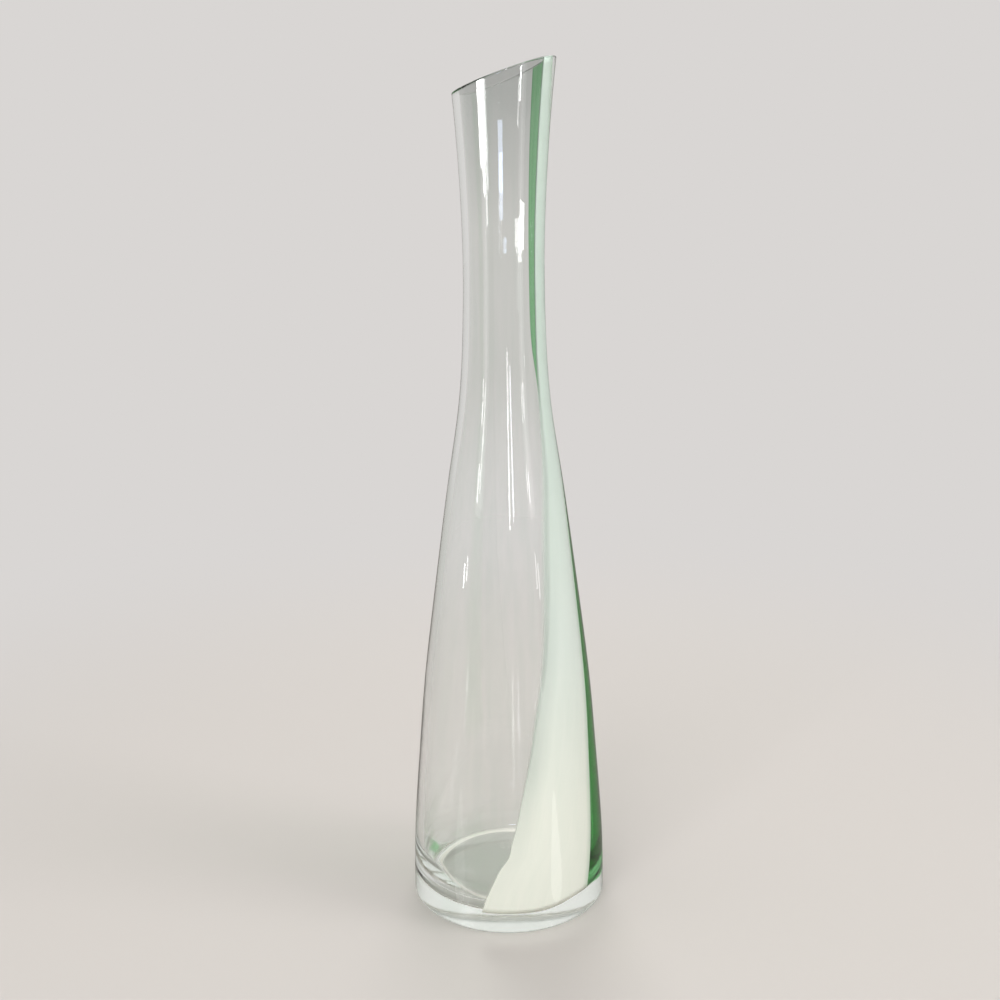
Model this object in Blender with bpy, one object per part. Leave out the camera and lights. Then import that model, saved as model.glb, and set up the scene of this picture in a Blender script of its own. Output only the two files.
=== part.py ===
"""A tall blown glass vase: a clear vessel with a slanted rim, and a white and a green glass band in its wall.

Metres, +Z up. The origin is the centre of the flat foot. The rim is highest at +X, and the front is at -Y.
Angles round the vase are in degrees, from the front (-Y) towards the high side of the rim (+X).
"""

import math

import bmesh
import bpy
import numpy as np
from mathutils import Matrix, Vector

# Outer shape
FOOT_RADIUS = 0.0469
NECK_RADIUS = 0.01815
MOUTH_RADIUS = 0.0233
NECK_HEIGHT = 0.305
RIM_HIGH = 0.390
RIM_LOW = 0.3755
FOOT_EDGE_RADIUS = 0.001

# Wall and floor
WALL_AT_FOOT = 0.0042
WALL_AT_NECK = 0.0027
WALL_AT_RIM = 0.0032
FLOOR_THICKNESS = 0.0075
INNER_CORNER_WIDTH = 0.0065
INNER_CORNER_HEIGHT = 0.020

# Coloured bands, each laid flush in its own shallow channel in the outer face of the wall
BAND_THICKNESS = 0.0012
BAND_CLEARANCE = 0.0003
BAND_START_HEIGHT = 0.010

# Room that every cutter has past what it cuts
OVERRUN = 0.004

# The swell from neck to foot: (share of the neck's height, share of the step from neck to foot radius)
SWELL_SHARES = (
    (0.0, 1.0),
    (0.066, 0.99),
    (0.148, 0.941),
    (0.246, 0.854),
    (0.344, 0.76),
    (0.475, 0.586),
    (0.59, 0.419),
    (0.689, 0.266),
    (0.787, 0.106),
    (0.852, 0.044),
    (0.918, 0.013),
    (1.0, 0.0),
)
# The flare from neck to mouth: (share of the height between them, share of the step between their radii)
FLARE_SHARES = (
    (0.47, 0.262),
    (0.82, 0.7),
    (1.0, 1.0),
)
# The wall thins from the foot to the neck by this power of the share of the height that is left
WALL_TAPER_SHARE = 1.5

# Edges of the bands: (share of the band's height, degrees round the vase)
WHITE_LEFT_SHARES = (
    (0.0, -16.0),
    (0.029, -11.5),
    (0.055, -5.5),
    (0.075, -0.5),
    (0.11, 3.9),
    (0.19, 12.3),
    (0.266, 18.7),
    (0.326, 24.5),
    (0.432, 32.0),
    (0.5, 37.0),
    (0.582, 43.5),
    (0.653, 47.3),
    (0.79, 48.0),
    (1.0, 49.5),
)
WHITE_RIGHT_SHARES = (
    (0.0, 52.0),
    (0.04, 56.2),
    (0.116, 61.0),
    (0.245, 67.0),
    (0.395, 73.0),
    (0.529, 81.0),
    (0.618, 88.0),
    (0.71, 90.0),
    (0.79, 88.0),
    (0.91, 80.0),
    (1.0, 68.0),
)
GREEN_LEFT_SHARES = (
    (0.0, 40.0),
    (0.529, 78.0),
    (0.592, 90.0),
    (0.653, 100.0),
    (0.71, 104.5),
    (0.79, 107.0),
    (1.0, 111.5),
)
GREEN_RIGHT_SHARES = (
    (0.0, 95.0),
    (0.16, 101.0),
    (0.305, 106.0),
    (0.447, 110.5),
    (0.553, 113.5),
    (0.605, 116.0),
    (0.637, 120.0),
    (0.655, 124.5),
    (0.674, 128.5),
    (0.695, 130.7),
    (0.74, 131.7),
    (0.816, 133.2),
    (0.895, 135.4),
    (1.0, 137.0),
)

# Facets
TURN_STEPS = 56
WALL_ROWS = 28
CORNER_STEPS = 5
FOOT_EDGE_STEPS = 2
WHITE_COLUMNS = 10
GREEN_COLUMNS = 6


def smooth_curve(stations):
    """The natural cubic spline through (place, value) stations, running straight on past both ends."""
    place, value = np.array(stations, float).T
    gap = np.diff(place)
    slope = np.diff(value) / gap
    count = len(place)
    system = np.eye(count)
    target = np.zeros(count)
    for i in range(1, count - 1):
        system[i, i - 1 : i + 2] = gap[i - 1], 2 * (gap[i - 1] + gap[i]), gap[i]
        target[i] = 3 * (slope[i] - slope[i - 1])
    bend = np.linalg.solve(system, target)

    def at(where):
        i = int(np.clip(np.searchsorted(place, where) - 1, 0, count - 2))
        start = slope[i] - gap[i] * (2 * bend[i] + bend[i + 1]) / 3
        if where < place[0]:
            return value[0] + start * (where - place[0])
        if where > place[-1]:
            end = slope[i] + gap[i] * (bend[i] + 2 * bend[i + 1]) / 3
            return value[-1] + end * (where - place[-1])
        t = where - place[i]
        return value[i] + t * (start + t * (bend[i] + t * (bend[i + 1] - bend[i]) / (3 * gap[i])))

    return at


def outer_stations():
    swell = FOOT_RADIUS - NECK_RADIUS
    flare = MOUTH_RADIUS - NECK_RADIUS
    above = RIM_HIGH - NECK_HEIGHT
    below = [(NECK_HEIGHT * height, NECK_RADIUS + swell * step) for height, step in SWELL_SHARES]
    return below + [(NECK_HEIGHT + above * height, NECK_RADIUS + flare * step) for height, step in FLARE_SHARES]


outer_radius = smooth_curve(outer_stations())
BLANK_TOP = RIM_HIGH + OVERRUN


def wall(height):
    if height > NECK_HEIGHT:
        share = (height - NECK_HEIGHT) / (RIM_HIGH - NECK_HEIGHT)
        return WALL_AT_NECK + (WALL_AT_RIM - WALL_AT_NECK) * share
    share = (1 - height / NECK_HEIGHT) ** WALL_TAPER_SHARE
    return WALL_AT_NECK + (WALL_AT_FOOT - WALL_AT_NECK) * share


def rows_between(low, high):
    """Both ends, and the heights between them at which every wall surface has a row of points."""
    step = BLANK_TOP / WALL_ROWS
    inside = [step * i for i in range(WALL_ROWS + 1) if low + step / 4 < step * i < high - step / 4]
    return [low] + inside + [high]


def arc(centre, radius, start, end, steps):
    """Points (radius, height) along an arc, with its angles in degrees from the +radius direction."""
    points = []
    for i in range(steps + 1):
        angle = math.radians(start + (end - start) * i / steps)
        points.append((centre[0] + radius * math.cos(angle), centre[1] + radius * math.sin(angle)))
    return points


def inner_corner():
    """Points (radius, height) down the wall's last curve to the floor, a quarter of an upright ellipse."""
    top = FLOOR_THICKNESS + INNER_CORNER_HEIGHT
    middle = outer_radius(top) - wall(top) - INNER_CORNER_WIDTH
    points = []
    for i in range(CORNER_STEPS + 1):
        angle = math.radians(90 * i / CORNER_STEPS)
        points.append((middle + INNER_CORNER_WIDTH * math.cos(angle), top - INNER_CORNER_HEIGHT * math.sin(angle)))
    return points


def vessel_profile():
    """The section of the uncut vessel, from the middle of the foot round the wall to the middle of the floor."""
    foot_edge = (FOOT_RADIUS - FOOT_EDGE_RADIUS, FOOT_EDGE_RADIUS)
    corner = inner_corner()
    points = [(0.0, 0.0)]
    points += arc(foot_edge, FOOT_EDGE_RADIUS, -90, 0, FOOT_EDGE_STEPS)
    points += [(outer_radius(z), z) for z in rows_between(FOOT_EDGE_RADIUS, BLANK_TOP)[1:]]
    points += [(outer_radius(z) - wall(z), z) for z in reversed(rows_between(corner[0][1], BLANK_TOP)[1:])]
    points += corner
    return points + [(0.0, FLOOR_THICKNESS)]


def mesh_object(name, bm):
    bmesh.ops.recalc_face_normals(bm, faces=bm.faces)
    mesh = bpy.data.meshes.new(name)
    bm.to_mesh(mesh)
    bm.free()
    mesh.shade_smooth()
    mesh.set_sharp_from_angle(angle=math.radians(30))
    obj = bpy.data.objects.new(name, mesh)
    bpy.context.scene.collection.objects.link(obj)
    return obj


def turned(name, profile):
    """The section spun once round +Z."""
    bm = bmesh.new()
    verts = [bm.verts.new((radius, 0.0, height)) for radius, height in profile]
    edges = [bm.edges.new(pair) for pair in zip(verts, verts[1:])]
    bmesh.ops.spin(
        bm, geom=verts + edges, cent=(0, 0, 0), axis=(0, 0, 1), angle=math.tau, steps=TURN_STEPS, use_merge=True
    )
    bmesh.ops.remove_doubles(bm, verts=bm.verts, dist=FOOT_EDGE_RADIUS / TURN_STEPS)
    return mesh_object(name, bm)


white_left = smooth_curve(WHITE_LEFT_SHARES)
white_right = smooth_curve(WHITE_RIGHT_SHARES)
green_left_free = smooth_curve(GREEN_LEFT_SHARES)
green_right = smooth_curve(GREEN_RIGHT_SHARES)


def clearance_angle(height):
    """The band clearance, as degrees round the outer face at this height."""
    return math.degrees(BAND_CLEARANCE / outer_radius(height))


def height_share(height):
    return (height - BAND_START_HEIGHT) / (RIM_HIGH - BAND_START_HEIGHT)


def white_edges(height):
    share = height_share(height)
    return white_left(share), white_right(share)


def green_edges(height):
    """The green band runs along the white one, and leaves it where its own left edge lies further round."""
    share = height_share(height)
    beside_white = white_right(share) + clearance_angle(height)
    return max(beside_white, green_left_free(share)), green_right(share)


def wrapped_shell(name, edges, columns, start, outside, depth, margin):
    """A curved plate between two edges of a band, from a start height to above the rim.

    It lies from a distance outside the outer face to a depth inside it, and is wider than the band by a margin
    of so many clearances on each side.
    """
    heights = rows_between(start, BLANK_TOP)
    bm = bmesh.new()
    grid = bmesh.ops.create_grid(bm, x_segments=columns, y_segments=len(heights) - 1, size=0.5)
    across = {}
    for vert in grid["verts"]:
        across[vert] = (vert.co.x + 0.5, heights[round((vert.co.y + 0.5) * (len(heights) - 1))])
    shell = bmesh.ops.extrude_face_region(bm, geom=list(bm.faces), use_keep_orig=True)
    inner = [item for item in shell["geom"] if isinstance(item, bmesh.types.BMVert)]
    places = {vert: (vert.co.x + 0.5, heights[round((vert.co.y + 0.5) * (len(heights) - 1))]) for vert in inner}
    for group, offset in ((across, outside), (places, -depth)):
        for vert, (share, height) in group.items():
            left, right = edges(height)
            left -= margin * clearance_angle(height)
            right += margin * clearance_angle(height)
            angle = math.radians(left + (right - left) * share)
            radius = outer_radius(height) + offset
            vert.co = (radius * math.sin(angle), -radius * math.cos(angle), height)
    # A band and its channel then lean their facets the same way
    bmesh.ops.triangulate(bm, faces=bm.faces, quad_method="SHORT_EDGE")
    return mesh_object(name, bm)


def rim_block():
    """A block whose lower face is the plane of the slanted rim."""
    high_point = Vector((outer_radius(RIM_HIGH), 0.0, RIM_HIGH))
    low_point = Vector((-outer_radius(RIM_LOW), 0.0, RIM_LOW))
    slope = math.atan2(high_point.z - low_point.z, high_point.x - low_point.x)
    side = 2 * (high_point - low_point).length
    bm = bmesh.new()
    bmesh.ops.create_cube(bm, size=side)
    bmesh.ops.translate(bm, verts=bm.verts, vec=(0.0, 0.0, side / 2))
    bmesh.ops.rotate(bm, verts=bm.verts, cent=(0, 0, 0), matrix=Matrix.Rotation(-slope, 3, "Y"))
    bmesh.ops.translate(bm, verts=bm.verts, vec=(high_point + low_point) / 2)
    return mesh_object("rim_block", bm)


def cut(obj, cutter):
    cutter.hide_render = True
    cutter.display_type = "WIRE"
    boolean = obj.modifiers.new("Cut by " + cutter.name, "BOOLEAN")
    boolean.operation = "DIFFERENCE"
    boolean.solver = "EXACT"
    boolean.object = cutter


def glass(name, colour, roughness, transmission):
    material = bpy.data.materials.new(name)
    material.use_nodes = True
    shader = material.node_tree.nodes["Principled BSDF"]
    shader.inputs["Base Color"].default_value = (*colour, 1.0)
    shader.inputs["Metallic"].default_value = 0.0
    shader.inputs["Roughness"].default_value = roughness
    shader.inputs["IOR"].default_value = 1.5
    shader.inputs["Transmission Weight"].default_value = transmission
    material.diffuse_color = (*colour, 1.0)
    return material


def main():
    for obj in list(bpy.data.objects):
        bpy.data.objects.remove(obj)

    rim = rim_block()
    channel_depth = BAND_THICKNESS + BAND_CLEARANCE
    channel_start = BAND_START_HEIGHT - BAND_CLEARANCE

    clear_body = turned("clear_body", vessel_profile())
    white_band = wrapped_shell("white_band", white_edges, WHITE_COLUMNS, BAND_START_HEIGHT, 0.0, BAND_THICKNESS, 0)
    green_band = wrapped_shell("green_band", green_edges, GREEN_COLUMNS, BAND_START_HEIGHT, 0.0, BAND_THICKNESS, 0)
    white_channel = wrapped_shell(
        "white_channel", white_edges, WHITE_COLUMNS, channel_start, OVERRUN, channel_depth, 1
    )
    green_channel = wrapped_shell(
        "green_channel", green_edges, GREEN_COLUMNS, channel_start, OVERRUN, channel_depth, 1
    )

    cut(clear_body, white_channel)
    cut(clear_body, green_channel)
    for obj in (clear_body, white_band, green_band):
        cut(obj, rim)

    clear_body.data.materials.append(glass("clear glass", (0.86, 0.91, 0.88), 0.02, 1.0))
    white_band.data.materials.append(glass("white opal glass", (0.80, 0.86, 0.80), 0.05, 0.0))
    green_band.data.materials.append(glass("green glass", (0.05, 0.30, 0.08), 0.03, 0.8))

    vase = bpy.data.objects.new("vase", None)
    bpy.context.scene.collection.objects.link(vase)
    for obj in (clear_body, white_band, green_band, white_channel, green_channel, rim):
        obj.parent = vase


main()
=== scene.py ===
"""The looks of the striped glass vase: a clear blown vessel with white and green bands fused into its wall.

Metres, +Z up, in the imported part's frame. The rim is highest at +X, and the front is at -Y.
Angles round the vase are in degrees, from the front (-Y) towards the high side of the rim (+X).
"""

import math

import bmesh
import bpy
import numpy as np
from mathutils import Matrix, Vector, noise


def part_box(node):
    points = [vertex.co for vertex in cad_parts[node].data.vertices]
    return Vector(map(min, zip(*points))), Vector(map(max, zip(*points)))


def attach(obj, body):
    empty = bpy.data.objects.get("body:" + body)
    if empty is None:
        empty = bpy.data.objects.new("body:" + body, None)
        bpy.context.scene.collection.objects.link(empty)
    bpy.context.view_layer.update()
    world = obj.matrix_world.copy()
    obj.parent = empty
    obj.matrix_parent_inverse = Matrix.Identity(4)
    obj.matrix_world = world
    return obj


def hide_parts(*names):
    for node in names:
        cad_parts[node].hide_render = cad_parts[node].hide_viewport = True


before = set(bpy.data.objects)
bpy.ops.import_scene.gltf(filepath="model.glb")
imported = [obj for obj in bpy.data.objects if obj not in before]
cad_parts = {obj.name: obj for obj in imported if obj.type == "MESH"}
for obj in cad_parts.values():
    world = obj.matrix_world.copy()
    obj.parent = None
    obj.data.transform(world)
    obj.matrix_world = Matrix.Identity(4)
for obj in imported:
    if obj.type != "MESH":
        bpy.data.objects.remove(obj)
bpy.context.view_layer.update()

# Outer shape
FOOT_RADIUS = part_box("clear_body")[1].x
RIM_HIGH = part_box("clear_body")[1].z
RIM_LOW = 0.3755
NECK_RADIUS = 0.01815
MOUTH_RADIUS = 0.0233
NECK_HEIGHT = 0.305
FOOT_EDGE_RADIUS = 0.001
RIM_EDGE_RADIUS = 0.0004
SLANT_START = 0.300
SUPPORT_GAP = 0.0005

# Wall and floor
WALL_AT_FOOT = 0.0042
WALL_AT_NECK = 0.0027
WALL_AT_RIM = 0.0032
FLOOR_THICKNESS = 0.0075
INNER_CORNER_WIDTH = 0.0065
INNER_CORNER_HEIGHT = 0.020
INNER_CORNER_POWER = 1.5
INNER_WAVE_HEIGHT = 0.00005
INNER_WAVE_LENGTH = 0.040

# Coloured bands, fused into the wall just under its outer face
BAND_COVER = 0.00025
BAND_START_HEIGHT = 0.010
BAND_TOP_GAP = 0.0004
BAND_LIFT = 0.0029
BAND_LIFT_FADE = 0.020
SEAM_GAP = 0.00005
# A band's share of its thickness at its very sides, and how squarely it rises from there to the full one
BAND_SIDE_SHARE = 0.3
BAND_SIDE_POWER = 10
# How far the white band's left side fades into the clear wall, and how far it is thin and grey
SOFT_SIDE = 0.0062
THIN_SIDE = 0.013
# Thickness of each band at the foot and at the rim
WHITE_THICKNESS = (0.0012, 0.0012)
GREEN_THICKNESS = (0.0017, 0.0012)

# Optical densities of the glass bodies, and their indices of refraction. A band lies inside the wall, so its
# index is against the glass round it
CLEAR_DENSITY = 7.0
GREEN_DENSITY = 860.0
CLEAR_INDEX = 1.51
WHITE_INDEX = 1.05
GREEN_INDEX = 1.0

# Marks and patterns in the glass, and the painted shade, highlight and green light on it
CORD_WIDTH = 0.0038
CORD_SQUASH = 0.06
CORD_DEPTH = 0.00002
HAZE_PATCH_WIDTH = 0.018
# How wide the painted shade line round the mouth is
PAINTED_RIM_SHADE_WIDTH = 0.0004
GROUND_FOOT_LOW = 0.0001
GROUND_FOOT_HIGH = 0.0004
# The painted highlight ring where the floor meets the wall: its radius, how far from its middle line it is
# full and where it ends, and how close to the floor's height it keeps
GLINT_RING_RADIUS = 0.0354
GLINT_RING_CORE = 0.0008
GLINT_RING_REACH = 0.0018
GLINT_RING_RISE = 0.006
WHITE_STREAK_WIDTH = 0.0015
WHITE_STREAK_LENGTH = 0.070
GREEN_STREAK_WIDTH = 0.0011
GREEN_STREAK_LENGTH = 0.080
# How wide the painted green light and shade along the white band's right side is
PAINTED_GREEN_GLOW_WIDTH = 0.0045
GREEN_SIDE_WIDTH = 0.0010

# The swell from neck to foot: (share of the neck's height, share of the step from neck to foot radius)
SWELL_SHARES = (
    (0.0, 1.0),
    (0.066, 0.99),
    (0.148, 0.941),
    (0.246, 0.854),
    (0.344, 0.76),
    (0.475, 0.586),
    (0.59, 0.419),
    (0.689, 0.266),
    (0.787, 0.106),
    (0.852, 0.044),
    (0.918, 0.013),
    (1.0, 0.0),
)
# The flare from neck to mouth: (share of the height between them, share of the step between their radii)
FLARE_SHARES = (
    (0.47, 0.262),
    (0.82, 0.7),
    (1.0, 1.0),
)
# The wall thins from the foot to the neck by this power of the share of the height that is left
WALL_TAPER_POWER = 1.5

# Edges of the bands: (share of the band's height, degrees round the vase)
WHITE_LEFT_SHARES = (
    (0.0, -16.0),
    (0.029, -11.5),
    (0.045, -8.2),
    (0.064, -3.6),
    (0.07, -1.4),
    (0.087, 1.0),
    (0.11, 3.9),
    (0.134, 6.3),
    (0.19, 12.3),
    (0.256, 17.9),
    (0.29, 21.6),
    (0.33, 24.6),
    (0.386, 27.4),
    (0.432, 29.6),
    (0.5, 34.4),
    (0.582, 43.5),
    (0.653, 47.3),
    (0.79, 48.0),
    (1.0, 49.5),
)
WHITE_RIGHT_SHARES = (
    (0.0, 52.0),
    (0.04, 56.2),
    (0.116, 61.0),
    (0.245, 67.0),
    (0.395, 73.0),
    (0.529, 81.0),
    (0.618, 88.0),
    (0.71, 90.0),
    (0.79, 88.0),
    (0.91, 80.0),
    (1.0, 68.0),
)
GREEN_LEFT_SHARES = (
    (0.0, 40.0),
    (0.529, 78.0),
    (0.592, 90.0),
    (0.653, 100.0),
    (0.71, 104.5),
    (0.79, 107.0),
    (1.0, 111.5),
)
GREEN_RIGHT_SHARES = (
    (0.0, 95.0),
    (0.16, 101.0),
    (0.305, 106.0),
    (0.447, 110.5),
    (0.553, 113.5),
    (0.605, 116.0),
    (0.637, 120.0),
    (0.655, 124.5),
    (0.674, 128.5),
    (0.695, 130.7),
    (0.74, 131.7),
    (0.816, 133.2),
    (0.895, 135.4),
    (1.0, 137.0),
)
# The white band's soft side: (share of the vase's height, share of the width over which it fades at most)
SOFT_SIDE_SHARES = (
    (0.0, 0.07),
    (0.1, 0.12),
    (0.2, 0.25),
    (0.32, 0.7),
    (0.42, 1.0),
    (0.53, 1.0),
    (0.6, 0.55),
    (0.68, 0.15),
    (1.0, 0.07),
)
# The white band's thin side: (share of the vase's height, share of grey at the very edge)
THIN_SIDE_SHARES = (
    (0.0, 0.0),
    (0.08, 0.1),
    (0.2, 0.5),
    (0.36, 0.5),
    (0.45, 0.3),
    (0.6, 0.12),
    (1.0, 0.0),
)
# The bands' lower ends rise by the band lift where the two meet, over so many degrees on each side
LIFT_ANGLE = 53.0
LIFT_SPAN_BEFORE = 36.0
LIFT_SPAN_AFTER = 24.0

# The white band's tone: (share of the vase's height, colour). It is cream at the foot; the mint higher up is
# painted green light, which the green band sends through the opal glass
WHITE_TONE_SHARES = (
    (0.0, "#FEFEF3"),
    (0.14, "#FAFBF0"),
    (0.34, "#ECF3EC"),
    (0.55, "#E5F1E9"),
    (0.78, "#E3F3E9"),
    (1.0, "#E5F4EA"),
)

# Mesh steps, and the rounds in which a slanted point's height settles
SETTLE_ROUNDS = 3
TURN_STEPS = 224
WALL_ROWS = 110
CORNER_STEPS = 24
EDGE_STEPS = 5
BAND_ROWS = 150
WHITE_COLUMNS = 28
GREEN_COLUMNS = 18
FLAT_RING_SHARES = (0.3, 0.6, 0.85, 0.97)

# Camera: the photograph's viewing angle, in its frame of 1000 x 1000 pixels
SENSOR_WIDTH = 36.0
FRAME_PIXELS = 1000
FOCAL_PIXELS = 1180
CAMERA_DISTANCE = 0.5339
CAMERA_HEIGHT = 0.3212
CAMERA_PITCH = 13.22
CAMERA_ROLL = 0.566
AXIS_PIXELS_RIGHT_OF_CENTRE = 5.83
CLIP_START = 0.01

# Studio
FLOOR_GAP = 0.0004
FLOOR_RADIUS = 9.0
FLOOR_SEGMENTS = 96
FLOOR_FADE_START = 0.16
FLOOR_FADE_END = 0.75
FLOOR_NEAR = 0.5
FLOOR_FAR = 2.2
FLOOR_ROUGHNESS = 0.6
MIRRORED_FLOOR_ROUGHNESS = 0.15
ROOM_LIGHT = 0.54
# The room's heights: upward part of the line of sight
NECK_SIGHT = 0.11
CEILING_START = 0.25
CEILING_END = 0.55
# How often a ray may meet the glass in all, be mirrored, and meet it and still see a lamp
GLASS_BOUNCES = 32
MIRROR_BOUNCES = 16
LAMP_BOUNCES = 7

# Colours of the surroundings, as the camera sees them, through the glass, and mirrored inside or off its
# outer face
WHITE = "#FFFFFF"
BACKDROP_COLOUR = "#D9D6D4"
THROUGH_GLASS_COLOUR = "#C9C7C3"
THROUGH_NECK_COLOUR = "#A8A8A5"
MIRRORED_COLOUR = "#DEDCDA"
ROOM_COLOUR = "#9C9A97"
OVERHEAD_COLOUR = "#F7F5F2"
FLOOR_COLOUR = "#BAB5B0"
FLOOR_MIRRORED_INSIDE_COLOUR = "#D0D0CB"
FLOOR_OFF_OUTSIDE_COLOUR = "#7B7771"

# Colours of the clear glass
CORD_COLOUR = "#FBFDFC"
# Painted shade: the thin grey line round the mouth
PAINTED_RIM_SHADE_COLOUR = "#AEB4B0"
# Painted highlight: the whitish ring where the floor meets the wall
PAINTED_GLINT_COLOUR = "#FFF6F0"
FACING_SHADE_COLOUR = "#FDFEFD"
EDGE_SHADE_COLOUR = "#D3D8D4"
CLEAR_BODY_COLOUR = "#E8F0EB"

# Colours of the white and the green glass
WHITE_STREAK_COLOUR = "#D5DED3"
# Painted green light and shade along the white band's right side
PAINTED_GREEN_GLOW_COLOUR = "#9DB79C"
THIN_WHITE_COLOUR = "#B7C1B9"
DEEP_STREAK_COLOUR = "#EAF7EC"
PALE_STREAK_COLOUR = "#FAFEFA"
GREEN_SIDE_COLOUR = "#A9CFB0"
GREEN_SHADOW_COLOUR = "#9CCBA4"
GREEN_BODY_COLOUR = "#4BDB78"

# Lamps: name, degrees round the vase, distance, lowest and highest point, width in degrees, brightness,
# colour
SOFT_LAMPS = (
    ("key softbox", -25, 1.3, 0.90, 1.70, 36, 8.6, WHITE),
    ("side softbox", 75, 1.2, 0.80, 1.40, 26, 8.6, WHITE),
    ("back softbox", 180, 1.3, 0.90, 1.70, 36, 8.0, WHITE),
)
# Lamps that only show as reflections in the glass, like the panes of a window. The last one hangs overhead
# and shows in the curve between the inner wall and the floor
WINDOW_LAMPS = (
    ("left pane", -49.5, 0.6, 0.310, 0.360, 17, 24, WHITE),
    ("left pane's foot", -49, 0.6, 0.298, 0.310, 5, 24, WHITE),
    ("left lower pane", -56, 2.5, 0.264, 0.430, 2.2, 14, WHITE),
    ("left low pane", -71.4, 0.6, 0.110, 0.134, 2.4, 24, WHITE),
    ("left blind", -52, 0.65, 0.20, 0.36, 12, 1.2, WHITE),
    ("middle pane", -5.5, 0.5, 0.3005, 0.326, 11, 9, "#D6E4FF"),
    ("front pane", 7.2, 2.5, 0.243, 0.60, 1.2, 24, WHITE),
    ("second front pane", 14.5, 2.5, 0.270, 0.60, 1.2, 22, "#F2F6FF"),
    ("right pane", 51, 0.5, 0.289, 0.302, 12, 24, WHITE),
    ("right upper pane", 40.5, 0.5, 0.337, 0.352, 3, 24, WHITE),
    ("right lower pane", 47.2, 2.5, 0.288, 0.430, 1.8, 14, WHITE),
    ("right low pane", 52.8, 0.6, 0.115, 0.148, 2.4, 5, WHITE),
    ("right blind", 50, 0.65, 0.20, 0.36, 10, 1.2, WHITE),
    ("front ceiling", 0, 0.8, 1.00, 1.50, 50, 7, "#FFF4EE"),
)
# Sheens on the floor, mirrored in the lower wall: name, where each starts (degrees round the vase), which
# way it runs, near and far end, brightness. Ovals of these widths lie on each other
FLOOR_SHEENS = (
    ("right sheen", 28.5, 58, 0.020, 0.200, 1.3),
    ("left sheen", -29, -61, 0.020, 0.200, 0.7),
)
SHEEN_WIDTHS = (0.003, 0.006, 0.009, 0.012, 0.015, 0.018, 0.021, 0.024)


def linear(hex_colour):
    """An sRGB hex colour as linear RGBA."""
    values = [int(hex_colour[i : i + 2], 16) / 255 for i in (1, 3, 5)]
    return tuple(v / 12.92 if v <= 0.04045 else ((v + 0.055) / 1.055) ** 2.4 for v in values) + (1.0,)


def smooth_curve(stations):
    """The natural cubic spline through (place, value) stations, running straight on past both ends."""
    place, value = np.array(stations, float).T
    gap = np.diff(place)
    slope = np.diff(value) / gap
    count = len(place)
    system = np.eye(count)
    target = np.zeros(count)
    for i in range(1, count - 1):
        system[i, i - 1 : i + 2] = gap[i - 1], 2 * (gap[i - 1] + gap[i]), gap[i]
        target[i] = 3 * (slope[i] - slope[i - 1])
    bend = np.linalg.solve(system, target)

    def at(where):
        i = int(np.clip(np.searchsorted(place, where) - 1, 0, count - 2))
        start = slope[i] - gap[i] * (2 * bend[i] + bend[i + 1]) / 3
        if where < place[0]:
            return float(value[0] + start * (where - place[0]))
        if where > place[-1]:
            end = slope[i] + gap[i] * (bend[i] + 2 * bend[i + 1]) / 3
            return float(value[-1] + end * (where - place[-1]))
        t = where - place[i]
        return float(value[i] + t * (start + t * (bend[i] + t * (bend[i + 1] - bend[i]) / (3 * gap[i]))))

    return at


def outer_stations():
    """The outer face's stations up the vase: (height, radius)."""
    swell = FOOT_RADIUS - NECK_RADIUS
    flare = MOUTH_RADIUS - NECK_RADIUS
    above = RIM_HIGH - NECK_HEIGHT
    below = [(NECK_HEIGHT * height, NECK_RADIUS + swell * step) for height, step in SWELL_SHARES]
    flared = [(NECK_HEIGHT + above * height, NECK_RADIUS + flare * step) for height, step in FLARE_SHARES]
    return below + flared


outer_radius = smooth_curve(outer_stations())
white_left = smooth_curve(WHITE_LEFT_SHARES)
white_right = smooth_curve(WHITE_RIGHT_SHARES)
green_left_free = smooth_curve(GREEN_LEFT_SHARES)
green_right = smooth_curve(GREEN_RIGHT_SHARES)


def wall(height):
    """How thick the wall is at this height."""
    if height > NECK_HEIGHT:
        share = (height - NECK_HEIGHT) / (RIM_HIGH - NECK_HEIGHT)
        return WALL_AT_NECK + (WALL_AT_RIM - WALL_AT_NECK) * share
    share = (1 - height / NECK_HEIGHT) ** WALL_TAPER_POWER
    return WALL_AT_NECK + (WALL_AT_FOOT - WALL_AT_NECK) * share


def slanted(height, sideways):
    """The place of a level row's point once the rim is slanted: its height, for its direction along X."""
    share = max(0.0, (height - SLANT_START) / (RIM_HIGH - SLANT_START))
    high_x = outer_radius(RIM_HIGH)
    slope = (RIM_HIGH - RIM_LOW) / (high_x + outer_radius(RIM_LOW))
    z = height
    for _ in range(SETTLE_ROUNDS):
        z = height - share * slope * (high_x - outer_radius(z) * sideways)
    return z


def arc(centre, radius, start, end, steps):
    """Points (radius, height) along an arc, with its angles in degrees from the +radius direction."""
    points = []
    for i in range(steps + 1):
        angle = math.radians(start + (end - start) * i / steps)
        points.append((centre[0] + radius * math.cos(angle), centre[1] + radius * math.sin(angle)))
    return points


def between(low, high, count):
    """Evenly spaced values from low to high, in this many steps."""
    return [low + (high - low) * i / count for i in range(count + 1)]


def inner_corner():
    """Points (radius, height) down the wall's last curve to the floor: a quarter superellipse."""
    top = FLOOR_THICKNESS + INNER_CORNER_HEIGHT
    middle = outer_radius(top) - wall(top) - INNER_CORNER_WIDTH
    points = []
    for i in range(CORNER_STEPS + 1):
        angle = math.radians(90 * i / CORNER_STEPS)
        out = abs(math.cos(angle)) ** (2 / INNER_CORNER_POWER)
        down = math.sin(angle) ** (2 / INNER_CORNER_POWER)
        points.append((middle + INNER_CORNER_WIDTH * out, top - INNER_CORNER_HEIGHT * down))
    return points


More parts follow.
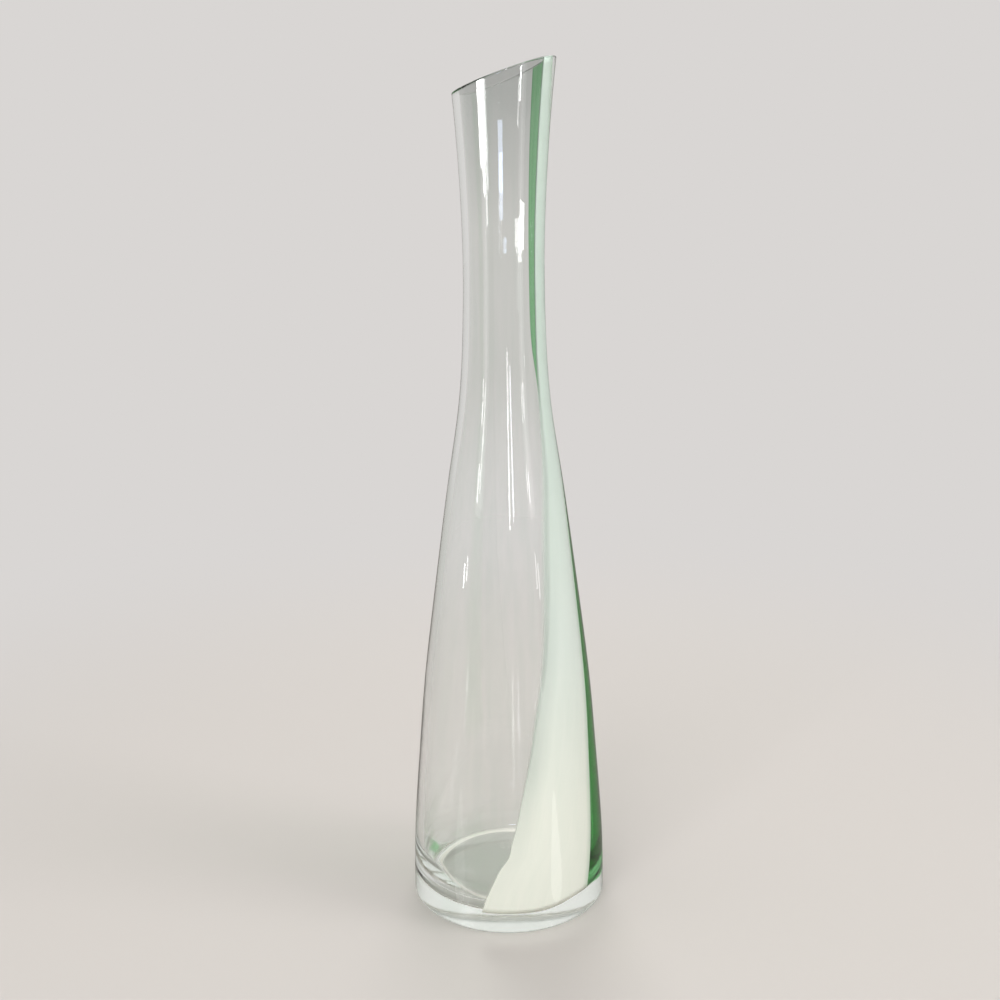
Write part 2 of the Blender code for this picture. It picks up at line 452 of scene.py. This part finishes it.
def vessel_section():
    """The section from the middle of the foot round the wall and the rim to the middle of the floor."""
    foot_flat = FOOT_RADIUS - FOOT_EDGE_RADIUS
    rim_start = RIM_HIGH - RIM_EDGE_RADIUS
    rim_outer = (outer_radius(rim_start) - RIM_EDGE_RADIUS, rim_start)
    rim_inner = (outer_radius(rim_start) - wall(rim_start) + RIM_EDGE_RADIUS, rim_start)
    corner = inner_corner()
    # Rows close to the rounded edges keep the shading of the long faces straight
    outside = between(FOOT_EDGE_RADIUS, rim_start, WALL_ROWS)[1:-1] + [rim_start - SUPPORT_GAP]
    outside = [FOOT_EDGE_RADIUS + SUPPORT_GAP] + outside
    inside = [rim_start - SUPPORT_GAP] + between(rim_start, corner[0][1], WALL_ROWS)[1:-1]
    points = [(0.0, 0.0)] + [(foot_flat * share, 0.0) for share in FLAT_RING_SHARES]
    points += [(foot_flat - SUPPORT_GAP, 0.0)]
    points += arc((foot_flat, FOOT_EDGE_RADIUS), FOOT_EDGE_RADIUS, -90, 0, EDGE_STEPS)
    points += [(outer_radius(z), z) for z in outside]
    points += arc(rim_outer, RIM_EDGE_RADIUS, 0, 90, EDGE_STEPS)
    points += [((rim_outer[0] + rim_inner[0]) / 2, RIM_HIGH)]
    points += arc(rim_inner, RIM_EDGE_RADIUS, 90, 180, EDGE_STEPS)
    points += [(outer_radius(z) - wall(z), z) for z in inside]
    points += corner
    points += [(corner[-1][0] * share, FLOOR_THICKNESS) for share in reversed(FLAT_RING_SHARES)]
    return points + [(0.0, FLOOR_THICKNESS)]


def finish_piece(name, bm, material, *replaced):
    """Makes the mesh an object that rides on the vase, dressed in its material, in place of CAD nodes."""
    bmesh.ops.recalc_face_normals(bm, faces=bm.faces)
    mesh = bpy.data.meshes.new(name)
    bm.to_mesh(mesh)
    bm.free()
    mesh.shade_smooth()
    mesh.materials.append(material)
    obj = bpy.data.objects.new(name, mesh)
    bpy.context.scene.collection.objects.link(obj)
    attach(obj, "root")
    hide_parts(*replaced)
    return obj


def clear_vessel(material):
    """The clear glass, turned from its section, with the rim slanted."""
    section = vessel_section()
    bm = bmesh.new()
    verts = [bm.verts.new((radius, 0.0, height)) for radius, height in section]
    edges = [bm.edges.new(pair) for pair in zip(verts, verts[1:])]
    bmesh.ops.spin(
        bm,
        geom=verts + edges,
        cent=(0, 0, 0),
        axis=(0, 0, 1),
        angle=math.tau,
        steps=TURN_STEPS,
        use_merge=True,
    )
    bmesh.ops.remove_doubles(bm, verts=bm.verts, dist=FOOT_EDGE_RADIUS / TURN_STEPS)
    from_rim_edge = bm.verts.layers.float.new("from_rim_edge")
    rim_start = RIM_HIGH - RIM_EDGE_RADIUS
    rim_middle = outer_radius(rim_start) - wall(rim_start) / 2
    rim_flat = wall(rim_start) / 2 - RIM_EDGE_RADIUS
    for vert in bm.verts:
        radius = math.hypot(vert.co.x, vert.co.y)
        if vert.co.z < rim_start:
            vert[from_rim_edge] = rim_start - vert.co.z
        else:
            vert[from_rim_edge] = max(0.0, rim_flat - abs(radius - rim_middle))
        if radius < FOOT_EDGE_RADIUS:
            continue
        sideways, depthways = vert.co.x / radius, vert.co.y / radius
        height = vert.co.z
        depth = outer_radius(height) - radius
        z = slanted(height, sideways)
        radius = outer_radius(z) - depth
        # The inside of a blown wall is a little uneven
        inside = min(max(depth / wall(height) * 2 - 1, 0.0), 1.0)
        if z > FLOOR_THICKNESS:
            wave = noise.noise(Vector((sideways * radius, depthways * radius, z)) / INNER_WAVE_LENGTH)
            radius += inside * INNER_WAVE_HEIGHT * wave
        vert.co = (radius * sideways, radius * depthways, z)
    obj = finish_piece("clear_vessel", bm, material, "clear_body")


def height_share(height):
    """The share of the bands' height that lies below this height."""
    return (height - BAND_START_HEIGHT) / (RIM_HIGH - BAND_START_HEIGHT)


def white_edges(height):
    """The angles of the white band's two sides at this height."""
    share = height_share(height)
    return white_left(share), white_right(share)


def green_edges(height):
    """The green band runs along the white one, and leaves it where its own left edge lies further round."""
    share = height_share(height)
    beside_white = white_right(share) + math.degrees(SEAM_GAP / outer_radius(height))
    return max(beside_white, green_left_free(share)), green_right(share)


def lift(angle):
    """How far the bands' lower ends rise at this angle round the vase."""
    span = LIFT_SPAN_BEFORE if angle < LIFT_ANGLE else LIFT_SPAN_AFTER
    share = min(abs(angle - LIFT_ANGLE) / span, 1.0)
    return BAND_LIFT * math.cos(share * math.pi / 2) ** 2


def fused_band(name, replaced, material, edges, thickness, columns):
    """A band of glass in the wall, thick in the middle and thin along both sides."""
    bm = bmesh.new()
    bmesh.ops.create_grid(bm, x_segments=columns, y_segments=BAND_ROWS, size=0.5)
    across = bm.verts.layers.float.new("across")
    along = bm.verts.layers.float.new("along")
    from_left = bm.verts.layers.float.new("from_left")
    from_right = bm.verts.layers.float.new("from_right")
    for vert in bm.verts:
        vert[across] = vert.co.x + 0.5
        vert[along] = vert.co.y + 0.5
    shell = bmesh.ops.extrude_face_region(bm, geom=list(bm.faces), use_keep_orig=True)
    inner = {item for item in shell["geom"] if isinstance(item, bmesh.types.BMVert)}
    top = RIM_HIGH - BAND_TOP_GAP
    at_foot, at_rim = thickness
    for vert in bm.verts:
        share = 0.5 - 0.5 * math.cos(math.pi * vert[across])
        level = BAND_START_HEIGHT + (top - BAND_START_HEIGHT) * vert[along]
        z = level
        for _ in range(SETTLE_ROUNDS):
            left, right = edges(z)
            angle = left + (right - left) * share
            fade = max(0.0, 1 - (level - BAND_START_HEIGHT) / BAND_LIFT_FADE)
            z = slanted(level + lift(angle) * fade, math.sin(math.radians(angle)))
        rounding = BAND_SIDE_SHARE + (1 - BAND_SIDE_SHARE) * (1 - (2 * share - 1) ** BAND_SIDE_POWER) ** 0.5
        thick = at_rim + (at_foot - at_rim) * (1 - min(height_share(z), 1.0)) ** 2
        radius = outer_radius(z) - BAND_COVER - (thick * rounding if vert in inner else 0.0)
        vert.co = (radius * math.sin(math.radians(angle)), -radius * math.cos(math.radians(angle)), z)
        vert[from_left] = math.radians(angle - left) * radius
        vert[from_right] = math.radians(right - angle) * radius
    obj = finish_piece(name, bm, material, replaced)


def add(tree, kind, inputs=None, stops=None, **settings):
    """Adds a node with its settings. An input is a value or the socket that feeds it. Stops make a ramp."""
    node = tree.nodes.new("ShaderNode" + kind)
    for name, value in settings.items():
        setattr(node, name, value)
    for name, value in (inputs or {}).items():
        if isinstance(value, bpy.types.NodeSocket):
            tree.links.new(value, node.inputs[name])
        else:
            node.inputs[name].default_value = value
    if stops:
        elements = node.color_ramp.elements
        elements.remove(elements[0])
        elements[0].position, elements[0].color = stops[0]
        for place, colour in stops[1:]:
            elements.new(place).color = colour
    return node


def new_material(name):
    material = bpy.data.materials.new(name)
    material.use_nodes = True
    material.node_tree.nodes.clear()
    return material, material.node_tree


def lets_light_in(tree, shader, tint):
    """Lamps and the light of the room pass this glass unbent, and the camera sees it as it is."""
    path = add(tree, "LightPath")
    clear = add(tree, "BsdfTransparent", {"Color": tint}).outputs[0]
    lit = add(tree, "MixShader", {0: path.outputs["Is Shadow Ray"], 1: shader, 2: clear}).outputs[0]
    return add(tree, "MixShader", {0: path.outputs["Is Diffuse Ray"], 1: lit, 2: clear}).outputs[0]


def clear_glass():
    """Soda-lime glass, blown and fire-polished: clear, with faint cords up its height and a ground foot."""
    material, tree = new_material("fire-polished soda-lime glass")
    place = add(tree, "TexCoord").outputs["Object"]
    height = add(tree, "SeparateXYZ", {0: place}).outputs["Z"]
    # Cords: streaks of slightly different glass, drawn out along the height
    drawn = add(tree, "VectorMath", {0: place, 1: (1, 1, CORD_SQUASH)}, operation="MULTIPLY").outputs[0]
    cords = add(tree, "TexNoise", {"Vector": drawn, "Scale": 1 / CORD_WIDTH, "Detail": 2.0}).outputs["Fac"]
    cord_stops = [(0.35, linear(CORD_COLOUR)), (0.65, linear(WHITE))]
    tint = add(tree, "ValToRGB", {"Fac": cords}, cord_stops).outputs["Color"]
    uneven = add(tree, "Bump", {"Height": cords, "Strength": 0.25, "Distance": CORD_DEPTH}).outputs[0]
    # Painted shade: a thin grey line round the mouth, for the dark line that the rim's rounded edges show
    # where they bend the light away
    from_rim_edge = add(tree, "Attribute", attribute_name="from_rim_edge").outputs["Fac"]
    painted_rim_shade = add(
        tree,
        "MapRange",
        {"Value": from_rim_edge, "From Max": PAINTED_RIM_SHADE_WIDTH, "To Min": 1.0, "To Max": 0.0},
    ).outputs[0]
    rim_shade_colours = {"Fac": painted_rim_shade, "Color1": tint, "Color2": linear(PAINTED_RIM_SHADE_COLOUR)}
    rim_shaded = add(tree, "MixRGB", rim_shade_colours).outputs[0]
    # Handling marks: a breath of haze in soft patches
    patch_scale = 1 / HAZE_PATCH_WIDTH
    patches = add(tree, "TexNoise", {"Vector": place, "Scale": patch_scale, "Detail": 3.0}).outputs["Fac"]
    haze_range = {"Value": patches, "From Min": 0.55, "From Max": 0.8, "To Max": 0.03}
    haze = add(tree, "MapRange", haze_range).outputs[0]
    # The foot is ground flat, so its underside is a little matt
    ground = add(
        tree,
        "MapRange",
        {
            "Value": height,
            "From Min": GROUND_FOOT_LOW,
            "From Max": GROUND_FOOT_HIGH,
            "To Min": 0.05,
            "To Max": 0.0,
        },
    ).outputs[0]
    roughness = add(tree, "Math", {0: haze, 1: ground}, operation="ADD").outputs[0]
    glass = add(
        tree,
        "BsdfPrincipled",
        {
            "Base Color": rim_shaded,
            "Roughness": roughness,
            "IOR": CLEAR_INDEX,
            "Transmission Weight": 1.0,
            "Normal": uneven,
        },
    ).outputs[0]
    # A painted highlight: a whitish ring, all round, where the floor meets the wall, for the light that the
    # curve between the inner wall and the floor catches
    from_axis = add(tree, "VectorMath", {0: place, 1: (1, 1, 0)}, operation="MULTIPLY").outputs[0]
    radius = add(tree, "VectorMath", {0: from_axis}, operation="LENGTH").outputs["Value"]
    past_ring = add(tree, "Math", {0: radius, 1: GLINT_RING_RADIUS}, operation="SUBTRACT").outputs[0]
    off_ring = add(tree, "Math", {0: past_ring}, operation="ABSOLUTE").outputs[0]
    on_ring = add(
        tree,
        "MapRange",
        {
            "Value": off_ring,
            "From Min": GLINT_RING_CORE,
            "From Max": GLINT_RING_REACH,
            "To Min": 0.6,
            "To Max": 0.0,
        },
    ).outputs[0]
    floor_range = {0: height, 1: FLOOR_THICKNESS, 2: GLINT_RING_RISE}
    at_floor = add(tree, "Math", floor_range, operation="COMPARE").outputs[0]
    glint_share = add(tree, "Math", {0: on_ring, 1: at_floor}, operation="MULTIPLY").outputs[0]
    painted_glint = add(tree, "BsdfDiffuse", {"Color": linear(PAINTED_GLINT_COLOUR)}).outputs[0]
    glint_ringed = add(tree, "MixShader", {0: glint_share, 1: glass, 2: painted_glint}).outputs[0]
    # Seen along its surface the wall holds back more light, which draws the outline in its shadow
    facing = add(tree, "LayerWeight", {"Blend": 0.35}).outputs["Facing"]
    shade_stops = [(0.0, linear(FACING_SHADE_COLOUR)), (1.0, linear(EDGE_SHADE_COLOUR))]
    shade = add(tree, "ValToRGB", {"Fac": facing}, shade_stops).outputs["Color"]
    surface = lets_light_in(tree, glint_ringed, shade)
    body_glass = {"Color": linear(CLEAR_BODY_COLOUR), "Density": CLEAR_DENSITY}
    body = add(tree, "VolumeAbsorption", body_glass).outputs[0]
    add(tree, "OutputMaterial", {"Surface": surface, "Volume": body})
    return material


def drawn_streaks(tree, width, length):
    """Streaks that follow a band, about this wide and this long, as hot glass draws them."""
    height = add(tree, "SeparateXYZ", {0: add(tree, "TexCoord").outputs["Object"]}).outputs["Z"]
    from_left = add(tree, "Attribute", attribute_name="from_left").outputs["Fac"]
    across = add(tree, "Math", {0: from_left, 1: width}, operation="DIVIDE").outputs[0]
    along = add(tree, "Math", {0: height, 1: length}, operation="DIVIDE").outputs[0]
    band_place = add(tree, "CombineXYZ", {"X": across, "Y": along}).outputs[0]
    return add(tree, "TexNoise", {"Vector": band_place, "Scale": 1.0, "Detail": 3.0}).outputs["Fac"]


def white_glass():
    """Opal glass: milk-white, cream at the foot and painted mint light in the neck, streaked, soft along its
    left side, and with painted green light along its right.
    """
    material, tree = new_material("white opal glass")
    place = add(tree, "SeparateXYZ", {0: add(tree, "TexCoord").outputs["Object"]})
    height = add(tree, "Math", {0: place.outputs["Z"], 1: RIM_HIGH}, operation="DIVIDE").outputs[0]
    from_left = add(tree, "Attribute", attribute_name="from_left").outputs["Fac"]
    from_right = add(tree, "Attribute", attribute_name="from_right").outputs["Fac"]
    # Cream at the foot, and painted green light as mint higher up
    tone_stops = [(share, linear(tone)) for share, tone in WHITE_TONE_SHARES]
    tone = add(tree, "ValToRGB", {"Fac": height}, tone_stops).outputs["Color"]
    streaks = drawn_streaks(tree, WHITE_STREAK_WIDTH, WHITE_STREAK_LENGTH)
    streak_range = {"Value": streaks, "From Min": 0.35, "From Max": 0.7, "To Max": 0.1}
    faint = add(tree, "MapRange", streak_range).outputs[0]
    streak_colours = {"Fac": faint, "Color1": tone, "Color2": linear(WHITE_STREAK_COLOUR)}
    streaked = add(tree, "MixRGB", streak_colours).outputs[0]
    # Painted green light and shade along its right side, for the light that the green band beside it sends
    # into the opal glass
    painted_glow = add(
        tree,
        "MapRange",
        {"Value": from_right, "From Max": PAINTED_GREEN_GLOW_WIDTH, "To Min": 0.42, "To Max": 0.0},
        interpolation_type="SMOOTHSTEP",
    ).outputs[0]
    painted_glow_colours = {"Fac": painted_glow, "Color1": streaked, "Color2": linear(PAINTED_GREEN_GLOW_COLOUR)}
    green_lit = add(tree, "MixRGB", painted_glow_colours).outputs[0]
    # Along its left side it fades into the clear wall, and is thin and greyer next to that
    soft_stops = [(share, (soft, soft, soft, 1.0)) for share, soft in SOFT_SIDE_SHARES]
    softness = add(tree, "ValToRGB", {"Fac": height}, soft_stops).outputs["Color"]
    width = add(tree, "Math", {0: softness, 1: SOFT_SIDE}, operation="MULTIPLY").outputs[0]
    depth = add(tree, "Math", {0: from_left, 1: width}, operation="DIVIDE").outputs[0]
    alpha = add(tree, "MapRange", {"Value": depth}, interpolation_type="SMOOTHSTEP").outputs[0]
    thin_stops = [(share, (grey, grey, grey, 1.0)) for share, grey in THIN_SIDE_SHARES]
    thinness = add(tree, "ValToRGB", {"Fac": height}, thin_stops).outputs["Color"]
    thin = add(
        tree,
        "MapRange",
        {"Value": from_left, "From Max": THIN_SIDE, "To Min": thinness, "To Max": 0.0},
        interpolation_type="SMOOTHSTEP",
    ).outputs[0]
    thin_colours = {"Fac": thin, "Color1": green_lit, "Color2": linear(THIN_WHITE_COLOUR)}
    colour = add(tree, "MixRGB", thin_colours).outputs[0]
    glass = add(
        tree,
        "BsdfPrincipled",
        {"Base Color": colour, "Roughness": 0.35, "IOR": WHITE_INDEX, "Alpha": alpha},
    ).outputs[0]
    add(tree, "OutputMaterial", {"Surface": glass})
    return material


def green_glass():
    """Transparent emerald glass in faint streaks, deep where it is seen edge on, darker at its free side."""
    material, tree = new_material("emerald green glass")
    streaks = drawn_streaks(tree, GREEN_STREAK_WIDTH, GREEN_STREAK_LENGTH)
    streak_stops = [(0.3, linear(DEEP_STREAK_COLOUR)), (0.7, linear(PALE_STREAK_COLOUR))]
    tone = add(tree, "ValToRGB", {"Fac": streaks}, streak_stops).outputs["Color"]
    from_right = add(tree, "Attribute", attribute_name="from_right").outputs["Fac"]
    side = add(
        tree,
        "MapRange",
        {"Value": from_right, "From Max": GREEN_SIDE_WIDTH, "To Min": 0.8, "To Max": 0.0},
    ).outputs[0]
    side_colours = {"Fac": side, "Color1": tone, "Color2": linear(GREEN_SIDE_COLOUR)}
    colour = add(tree, "MixRGB", side_colours).outputs[0]
    glass = add(
        tree,
        "BsdfPrincipled",
        {"Base Color": colour, "Roughness": 0.0, "IOR": GREEN_INDEX, "Transmission Weight": 1.0},
    ).outputs[0]
    surface = lets_light_in(tree, glass, linear(GREEN_SHADOW_COLOUR))
    body_glass = {"Color": linear(GREEN_BODY_COLOUR), "Density": GREEN_DENSITY}
    body = add(tree, "VolumeAbsorption", body_glass).outputs[0]
    add(tree, "OutputMaterial", {"Surface": surface, "Volume": body})
    return material


def seen_colour(tree, path, through, mirrored):
    """The backdrop's colour for the camera, for a look through the glass, and for one mirrored inside it."""
    mirrorings = path.outputs["Glossy Depth"]
    inside = add(tree, "Math", {0: mirrorings, 1: 0.5}, operation="GREATER_THAN").outputs[0]
    in_glass = add(tree, "MixRGB", {"Fac": inside, "Color1": through, "Color2": mirrored}).outputs[0]
    sights = {"Fac": path.outputs["Is Camera Ray"], "Color1": in_glass, "Color2": linear(BACKDROP_COLOUR)}
    return add(tree, "MixRGB", sights).outputs[0]


def off_the_outside(tree, path):
    """One for a ray that the glass's outer face has mirrored."""
    glossy, bent = path.outputs["Is Glossy Ray"], path.outputs["Is Transmission Ray"]
    return add(tree, "Math", {0: glossy, 1: bent}, operation="SUBTRACT").outputs[0]


def studio_floor():
    """A plain pale floor that fades into the backdrop round the vase and keeps the vase's shadow."""
    material, tree = new_material("pale matt floor")
    place = add(tree, "TexCoord").outputs["Object"]
    distance = add(tree, "VectorMath", {0: place}, operation="LENGTH").outputs["Value"]
    path = add(tree, "LightPath")
    camera_ray, bent = path.outputs["Is Camera Ray"], path.outputs["Is Transmission Ray"]
    # Matt and pale to the camera, darker and satin where the glass mirrors it
    colour = add(
        tree,
        "MixRGB",
        {
            "Fac": off_the_outside(tree, path),
            "Color1": linear(FLOOR_COLOUR),
            "Color2": linear(FLOOR_OFF_OUTSIDE_COLOUR),
        },
    ).outputs[0]
    roughness = add(
        tree,
        "MapRange",
        {"Value": camera_ray, "To Min": MIRRORED_FLOOR_ROUGHNESS, "To Max": FLOOR_ROUGHNESS},
    ).outputs[0]
    matt = add(tree, "BsdfPrincipled", {"Base Color": colour, "Roughness": roughness}).outputs[0]
    afar = add(
        tree,
        "MapRange",
        {"Value": distance, "From Min": FLOOR_NEAR, "From Max": FLOOR_FAR},
        interpolation_type="SMOOTHSTEP",
    ).outputs[0]
    through = add(
        tree,
        "MixRGB",
        {"Fac": afar, "Color1": linear(BACKDROP_COLOUR), "Color2": linear(THROUGH_GLASS_COLOUR)},
    ).outputs[0]
    mirrored = add(
        tree,
        "MixRGB",
        {"Fac": afar, "Color1": linear(FLOOR_MIRRORED_INSIDE_COLOUR), "Color2": linear(MIRRORED_COLOUR)},
    ).outputs[0]
    backdrop = seen_colour(tree, path, through, mirrored)
    far = add(tree, "Emission", {"Color": backdrop, "Strength": 1.0}).outputs[0]
    fade = add(
        tree,
        "MapRange",
        {"Value": distance, "From Min": FLOOR_FADE_START, "From Max": FLOOR_FADE_END},
        interpolation_type="SMOOTHERSTEP",
    ).outputs[0]
    seen = add(tree, "Math", {0: camera_ray, 1: bent}, operation="MAXIMUM").outputs[0]
    share = add(tree, "Math", {0: seen, 1: fade}, operation="MULTIPLY").outputs[0]
    mixed = add(tree, "MixShader", {0: share, 1: matt, 2: far}).outputs[0]
    add(tree, "OutputMaterial", {"Surface": mixed})
    bm = bmesh.new()
    bmesh.ops.create_circle(bm, cap_ends=True, segments=FLOOR_SEGMENTS, radius=FLOOR_RADIUS)
    bmesh.ops.translate(bm, verts=bm.verts, vec=(0, 0, -FLOOR_GAP))
    mesh = bpy.data.meshes.new("floor")
    bm.to_mesh(mesh)
    bm.free()
    mesh.materials.append(material)
    floor = bpy.data.objects.new("floor", mesh)
    bpy.context.scene.collection.objects.link(floor)


def studio_world():
    """An even room, white overhead, that the glass mirrors dimly on its outer face."""
    world = bpy.data.worlds.new("studio")
    bpy.context.scene.world = world
    world.use_nodes = True
    tree = world.node_tree
    tree.nodes.clear()
    path = add(tree, "LightPath")
    camera_ray, glossy = path.outputs["Is Camera Ray"], path.outputs["Is Glossy Ray"]
    upward = add(tree, "SeparateXYZ", {0: add(tree, "TexCoord").outputs["Generated"]}).outputs["Z"]
    above_eye = add(tree, "MapRange", {"Value": upward, "From Max": NECK_SIGHT}).outputs[0]
    through = add(
        tree,
        "MixRGB",
        {"Fac": above_eye, "Color1": linear(THROUGH_GLASS_COLOUR), "Color2": linear(THROUGH_NECK_COLOUR)},
    ).outputs[0]
    backdrop = seen_colour(tree, path, through, linear(MIRRORED_COLOUR))
    sides = add(
        tree,
        "MixRGB",
        {"Fac": off_the_outside(tree, path), "Color1": backdrop, "Color2": linear(ROOM_COLOUR)},
    ).outputs[0]
    ceiling_range = {"Value": upward, "From Min": CEILING_START, "From Max": CEILING_END}
    overhead = add(tree, "MapRange", ceiling_range).outputs[0]
    heights = {"Fac": overhead, "Color1": sides, "Color2": linear(OVERHEAD_COLOUR)}
    room = add(tree, "MixRGB", heights).outputs[0]
    seen = add(tree, "Math", {0: camera_ray, 1: glossy}, operation="MAXIMUM").outputs[0]
    light = add(tree, "Background", {"Color": linear(WHITE), "Strength": ROOM_LIGHT}).outputs[0]
    view = add(tree, "Background", {"Color": room, "Strength": 1.0}).outputs[0]
    mixed = add(tree, "MixShader", {0: seen, 1: light, 2: view}).outputs[0]
    add(tree, "OutputWorld", {"Surface": mixed})


def light_panel(name, shape, width, length, brightness, colour):
    """An area lamp whose mirror image is as bright as white paper where its brightness is 1."""
    data = bpy.data.lights.new(name, "AREA")
    data.shape = shape
    data.size = width
    data.size_y = length
    area = width * length * (math.pi / 4 if shape == "ELLIPSE" else 1)
    data.energy = brightness * math.pi * area
    data.color = linear(colour)[:3]
    obj = bpy.data.objects.new(name, data)
    obj.visible_camera = False
    bpy.context.scene.collection.objects.link(obj)
    return obj


def hide_from_wandering_rays(data):
    """Rays that have met the glass many times don't see this lamp, so that they leave no bright specks."""
    data.use_nodes = True
    tree = data.node_tree
    tree.nodes.clear()
    meetings = add(tree, "LightPath").outputs["Ray Depth"]
    few = add(tree, "Math", {0: meetings, 1: LAMP_BOUNCES + 0.5}, operation="LESS_THAN").outputs[0]
    light = add(tree, "Emission", {"Strength": few}).outputs[0]
    add(tree, "OutputLight", {"Surface": light})


def lamp(name, azimuth, distance, low, high, width, brightness, colour, only_mirrored):
    """A rectangular lamp that faces the vase's axis, or its foot where it lights the scene."""
    panel = light_panel(name, "RECTANGLE", distance * math.radians(width), high - low, brightness, colour)
    angle = math.radians(azimuth)
    middle = (low + high) / 2
    panel.location = (distance * math.sin(angle), -distance * math.cos(angle), middle)
    aim = Vector((0, 0, middle if only_mirrored else 0))
    panel.rotation_euler = (panel.location - aim).to_track_quat("Z", "Y").to_euler()
    panel.visible_diffuse = not only_mirrored
    panel.visible_glossy = only_mirrored
    panel.visible_transmission = only_mirrored
    if only_mirrored:
        hide_from_wandering_rays(panel.data)


def floor_sheen(name, azimuth, heading, near, far, brightness, width):
    """A long oval of light on the floor that runs away from the foot and shows only where it is mirrored."""
    panel = light_panel(name, "ELLIPSE", width, far - near, brightness, WHITE)
    start, along = math.radians(azimuth), math.radians(heading)
    middle = (near + far) / 2
    x = FOOT_RADIUS * math.sin(start) + middle * math.sin(along)
    y = -FOOT_RADIUS * math.cos(start) - middle * math.cos(along)
    panel.location = (x, y, FLOOR_GAP)
    panel.rotation_euler = (math.pi, 0, along)
    panel.visible_diffuse = False
    panel.visible_transmission = False


def camera():
    """Looks at the vase as the photograph does, from a little above."""
    data = bpy.data.cameras.new("camera")
    data.sensor_width = SENSOR_WIDTH
    data.lens = FOCAL_PIXELS / FRAME_PIXELS * SENSOR_WIDTH
    data.clip_start = CLIP_START
    cam = bpy.data.objects.new("camera", data)
    yaw = math.atan(AXIS_PIXELS_RIGHT_OF_CENTRE / FOCAL_PIXELS)
    place = Matrix.Translation((0.0, -CAMERA_DISTANCE, CAMERA_HEIGHT))
    turn = Matrix.Rotation(yaw, 4, "Z") @ Matrix.Rotation(math.radians(90 - CAMERA_PITCH), 4, "X")
    cam.matrix_world = place @ turn @ Matrix.Rotation(math.radians(-CAMERA_ROLL), 4, "Z")
    bpy.context.scene.collection.objects.link(cam)
    bpy.context.scene.camera = cam


camera()
studio_world()
studio_floor()
for row in SOFT_LAMPS:
    lamp(*row, only_mirrored=False)
for row in WINDOW_LAMPS:
    lamp(*row, only_mirrored=True)
for row in FLOOR_SHEENS:
    for width in SHEEN_WIDTHS:
        floor_sheen(*row, width)

clear_vessel(clear_glass())
fused_band(
    "white_stripe", "white_band", white_glass(), white_edges, WHITE_THICKNESS, WHITE_COLUMNS
)
fused_band(
    "green_stripe", "green_band", green_glass(), green_edges, GREEN_THICKNESS, GREEN_COLUMNS
)

scene = bpy.context.scene
scene.view_settings.view_transform = "Standard"
scene.cycles.max_bounces = GLASS_BOUNCES
scene.cycles.glossy_bounces = MIRROR_BOUNCES
scene.cycles.transmission_bounces = GLASS_BOUNCES
scene.cycles.transparent_max_bounces = GLASS_BOUNCES
